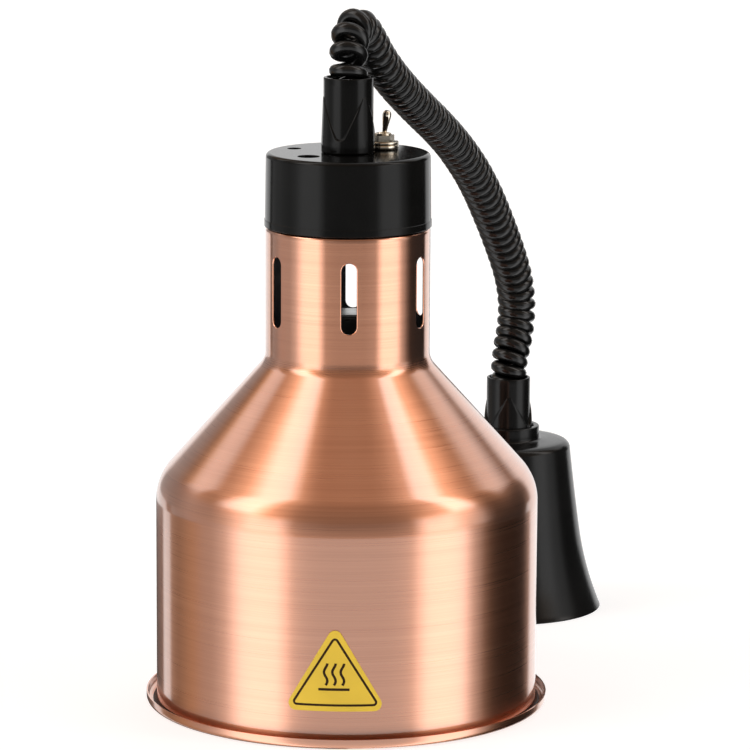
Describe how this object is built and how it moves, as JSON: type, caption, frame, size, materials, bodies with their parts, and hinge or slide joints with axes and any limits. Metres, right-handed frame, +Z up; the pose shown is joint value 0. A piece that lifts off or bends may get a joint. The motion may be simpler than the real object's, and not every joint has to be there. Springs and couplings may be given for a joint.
{
  "type": "heat lamp warmer",
  "caption": "Pendant heat lamp with a spun copper-coloured shade, vented neck, black top cap with a toggle switch, and a curly cord to a bell-shaped ceiling rose.",
  "frame": {"origin": "on the floor, in the middle of the footprint of the lamp and the ceiling rose without the cord", "axes": "+Z up along the lamp's axis, -Y towards the front of the lamp, +X to the right seen from the front; the ceiling rose stands behind and to the right"},
  "size_m": [0.338, 0.503, 0.4883],
  "materials": {
    "copper_shade": "brushed copper colour under clear lacquer",
    "black_plastic": "glossy",
    "black_cord": "semi-gloss",
    "nickel": "bright nickel",
    "plated_steel": "zinc plated",
    "brass": "bare brass",
    "dark_socket": "dark heat-resistant moulding",
    "bulb_glass": "red reflector glass",
    "label": "printed vinyl",
    "white_block": "moulded",
    "wire_brown": "insulation",
    "wire_blue": "insulation",
    "wire_green": "insulation"
  },
  "bodies": {
    "lamp_head": {"shade": "copper_shade", "hot_surface_label": "label", "top_cap": "black_plastic", "lamp_cord_sleeve": "black_plastic", "lamp_cord_gland": "black_plastic", "lamp_gland_nut": "black_plastic", "lamp_cord_tail": "black_cord", "switch_spacer": "nickel", "switch_washer": "nickel", "switch_nut": "nickel", "switch_bushing": "nickel", "switch_body": "black_plastic", "switch_terminal_1": "brass", "switch_terminal_2": "brass", "socket_bracket": "plated_steel", "bracket_pillar_left": "plated_steel", "bracket_pillar_right": "plated_steel", "bracket_screw_left": "plated_steel", "bracket_screw_right": "plated_steel", "socket_screw_left": "plated_steel", "socket_screw_right": "plated_steel", "lamp_socket": "dark_socket", "socket_shell": "brass", "socket_contact": "brass", "live_wire": "wire_brown", "switched_wire": "wire_brown", "neutral_wire": "wire_blue", "earth_wire": "wire_green", "curly_cord": "black_cord"},
    "toggle": {"switch_lever": "nickel"},
    "bulb": {"bulb_glass": "bulb_glass", "bulb_cap": "brass", "bulb_insulator": "black_plastic", "bulb_contact": "brass", "bulb_filament": "plated_steel"},
    "ceiling_rose": {"rose_bell": "black_plastic", "rose_cord_sleeve": "black_plastic", "rose_cord_gland": "black_plastic", "rose_gland_nut": "black_plastic", "rose_cord_tail": "black_cord", "ceiling_bracket": "plated_steel", "bell_screw_front": "plated_steel", "bell_screw_back": "plated_steel", "terminal_block": "white_block", "terminal_screw_1": "brass", "terminal_screw_2": "brass", "terminal_screw_3": "brass", "rose_live_wire": "wire_brown", "rose_earth_wire": "wire_green", "rose_neutral_wire": "wire_blue"}
  },
  "joints": [
    {"name": "toggle_rock", "type": "hinge", "parent": "lamp_head", "child": "toggle", "pos_m": [-0.0025, -0.09015, 0.3965], "axis": [0.788, 0.6157, 0], "range_deg": [-25, 0]},
    {"name": "bulb_release", "type": "slide", "parent": "lamp_head", "child": "bulb", "axis": [0, 0, -1], "range_m": [0, 0.026]},
    {"name": "cord_extension", "type": "slide", "parent": "lamp_head", "child": "ceiling_rose", "axis": [0, 0, 1], "range_m": [0, 1.2], "deforming": ["curly_cord"]}
  ]
}
